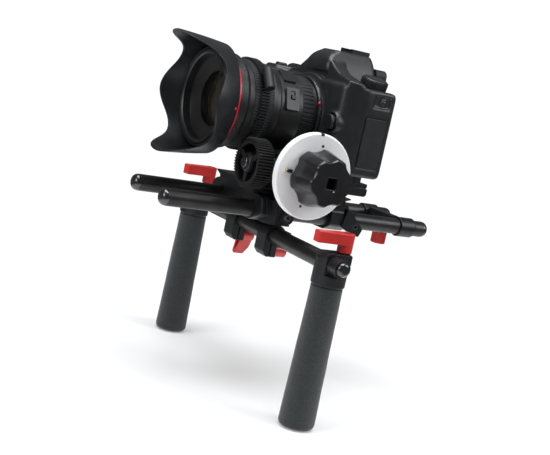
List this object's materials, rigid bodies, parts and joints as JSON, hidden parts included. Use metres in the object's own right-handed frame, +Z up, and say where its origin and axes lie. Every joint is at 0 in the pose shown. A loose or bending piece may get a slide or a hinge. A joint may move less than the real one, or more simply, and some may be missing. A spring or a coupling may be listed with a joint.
{
  "type": "cinema camera rig",
  "caption": "Hand-held camera rig with twin rods, cross bar, foam handles, follow focus and a camera with a wide zoom lens and petal hood.",
  "frame": {"origin": "midway between the two rod axes, on the front face of the front rod block", "axes": "-Y is the direction the lens looks, +X is the operator's left side with the follow focus, +Z is up"},
  "size_m": [0.3, 0.2836, 0.3151],
  "materials": {
    "rod_tube": "satin anodised",
    "end_cap": "gloss",
    "anodised": "satin anodised",
    "screw": "blackened",
    "red_lever": "satin",
    "gear_plastic": "matte",
    "marking_white": "satin",
    "knob_plastic": "satin",
    "hood_plastic": "satin",
    "lens_paint": "fine crinkle",
    "ring_rubber": "matte",
    "glass": "coated",
    "camera_shell": "fine texture",
    "dial_metal": "satin",
    "screen": "gloss",
    "foam": "foam"
  },
  "bodies": {
    "frame": {"rod_left": "rod_tube", "rod_right": "rod_tube", "rod_caps": "end_cap", "front_block": "anodised", "slide_rail": "anodised", "rear_rod_clamp": "anodised", "clamp_screws": "screw", "bar_clamp_left": "anodised", "bar_clamp_right": "anodised", "bar_stud_left": "screw", "bar_stud_right": "screw", "focus_clamp": "anodised", "gearbox": "anodised", "gearbox_cover": "anodised"},
    "camera": {"camera_clamp": "anodised", "camera_plate": "anodised", "camera_screw": "screw", "camera_body": "camera_shell", "eyecup": "ring_rubber", "rear_screen": "screen", "hot_shoe": "dial_metal", "lens_hood": "hood_plastic", "lens_front": "lens_paint", "lens_glass": "glass", "lens_barrel": "lens_paint"},
    "quick_release_knob": {"clamp_knob": "knob_plastic"},
    "focus": {"focus_ring": "ring_rubber", "gear_belt": "ring_rubber", "belt_clamp": "gear_plastic"},
    "zoom": {"zoom_ring": "ring_rubber"},
    "switch": {"focus_switch": "gear_plastic"},
    "mode": {"mode_dial": "dial_metal"},
    "front_wheel": {"main_dial": "gear_plastic"},
    "back_wheel": {"rear_dial": "gear_plastic"},
    "shutter": {"shutter_button": "dial_metal"},
    "lens_button": {"lens_release": "gear_plastic"},
    "door": {"port_cover": "ring_rubber"},
    "drive": {"drive_gear": "gear_plastic", "drive_shaft": "screw"},
    "handwheel": {"hand_knob": "knob_plastic", "marking_disc": "marking_white", "wheel_shaft": "screw"},
    "bar": {"cross_bar": "rod_tube", "bar_plugs": "end_cap"},
    "sleeve_left": {"handle_sleeve_left": "end_cap"},
    "sleeve_right": {"handle_sleeve_right": "end_cap"},
    "handle_left": {"handle_head_left": "anodised", "handle_core_left": "anodised", "foam_grip_left": "foam", "handle_stud_left": "screw"},
    "handle_right": {"handle_head_right": "anodised", "handle_core_right": "anodised", "foam_grip_right": "foam", "handle_stud_right": "screw"},
    "grip_lever_left": {"handle_lever_left": "red_lever"},
    "grip_lever_right": {"handle_lever_right": "red_lever"},
    "clamp_lever_left": {"bar_lever_left": "red_lever"},
    "clamp_lever_right": {"bar_lever_right": "red_lever"},
    "bridge": {"rear_bridge": "anodised"},
    "bridge_screw": {"bridge_knob": "red_lever"}
  },
  "joints": [
    {"name": "camera_slide", "type": "slide", "parent": "frame", "child": "camera", "axis": [0, 1, 0], "range_m": [0, 0.005]},
    {"name": "quick_release_turn", "type": "hinge", "parent": "camera", "child": "quick_release_knob", "pos_m": [-0.05, 0.067, 0.0255], "axis": [1, 0, 0], "continuous": true},
    {"name": "handwheel_turn", "type": "hinge", "parent": "frame", "child": "handwheel", "pos_m": [0.07, 0.027, 0.0403], "axis": [1, 0, 0], "range_deg": [-86, 115]},
    {"name": "drive_turn", "type": "hinge", "parent": "frame", "child": "drive", "pos_m": [0.04059, 0, 0.0403], "axis": [0, 1, 0], "range_deg": [-86, 115]},
    {"name": "focus_turn", "type": "hinge", "parent": "camera", "child": "focus", "pos_m": [0, -0.0125, 0.0857], "axis": [0, 1, 0], "range_deg": [-60, 45]},
    {"name": "zoom_turn", "type": "hinge", "parent": "camera", "child": "zoom", "pos_m": [0, 0.0355, 0.0857], "axis": [0, 1, 0], "range_deg": [-45, 45]},
    {"name": "focus_switch_slide", "type": "slide", "parent": "camera", "child": "switch", "axis": [-0.3746, 0, 0.9272], "range_m": [0, 0.0028]},
    {"name": "mode_turn", "type": "hinge", "parent": "camera", "child": "mode", "pos_m": [0.0475, 0.0865, 0.1227], "axis": [0.2079, 0, 0.9781], "continuous": true},
    {"name": "front_wheel_turn", "type": "hinge", "parent": "camera", "child": "front_wheel", "pos_m": [-0.068, 0.0745, 0.1205], "axis": [1, 0, 0], "continuous": true},
    {"name": "back_wheel_turn", "type": "hinge", "parent": "camera", "child": "back_wheel", "pos_m": [-0.06, 0.107, 0.078], "axis": [0, 1, 0], "continuous": true},
    {"name": "shutter_press", "type": "slide", "parent": "camera", "child": "shutter", "axis": [0, 0, 1], "range_m": [-0.0012, 0], "stiffness_N_per_m": 400},
    {"name": "lens_button_press", "type": "slide", "parent": "camera", "child": "lens_button", "axis": [0, 1, 0], "range_m": [0, 0.0018], "stiffness_N_per_m": 400},
    {"name": "door_hinge", "type": "hinge", "parent": "camera", "child": "door", "pos_m": [0.0644, 0.0976, 0.075], "axis": [0, 0, 1], "range_deg": [0, 110]},
    {"name": "bar_slide", "type": "slide", "parent": "frame", "child": "bar", "axis": [1, 0, 0], "range_m": [-0.012, 0.012]},
    {"name": "sleeve_left_slide", "type": "slide", "parent": "bar", "child": "sleeve_left", "axis": [1, 0, 0], "range_m": [-0.02, 0.006]},
    {"name": "sleeve_right_slide", "type": "slide", "parent": "bar", "child": "sleeve_right", "axis": [1, 0, 0], "range_m": [-0.001, 0.025]},
    {"name": "handle_left_tilt", "type": "hinge", "parent": "sleeve_left", "child": "handle_left", "pos_m": [0.125, 0.027, -0.0214], "axis": [1, 0, 0], "range_deg": [-90, 90]},
    {"name": "handle_right_tilt", "type": "hinge", "parent": "sleeve_right", "child": "handle_right", "pos_m": [-0.13, 0.027, -0.0214], "axis": [1, 0, 0], "range_deg": [-90, 90]},
    {"name": "grip_lever_left_turn", "type": "hinge", "parent": "handle_left", "child": "grip_lever_left", "pos_m": [0.125, 0.0394, 0], "axis": [0, 0, 1], "range_deg": [0, 110]},
    {"name": "grip_lever_right_turn", "type": "hinge", "parent": "handle_right", "child": "grip_lever_right", "pos_m": [-0.13, 0.0394, 0], "axis": [0, 0, 1], "range_deg": [-110, 0]},
    {"name": "clamp_lever_left_turn", "type": "hinge", "parent": "frame", "child": "clamp_lever_left", "pos_m": [0.03, 0.036, -0.035], "axis": [0, 1, 0], "range_deg": [-180, 0]},
    {"name": "clamp_lever_right_turn", "type": "hinge", "parent": "frame", "child": "clamp_lever_right", "pos_m": [-0.03, 0.036, -0.035], "axis": [0, 1, 0], "range_deg": [-108, 72]},
    {"name": "bridge_slide", "type": "slide", "parent": "frame", "child": "bridge", "axis": [0, 1, 0], "range_m": [-0.045, 0.01]},
    {"name": "bridge_screw_turn", "type": "hinge", "parent": "bridge", "child": "bridge_screw", "pos_m": [0, 0.167, -0.018], "axis": [0, 0, 1], "continuous": true}
  ],
  "couplings": [
    {"joint": "drive_turn", "follows": "handwheel_turn", "ratio": 1},
    {"joint": "focus_turn", "follows": "handwheel_turn", "ratio": -0.52}
  ]
}
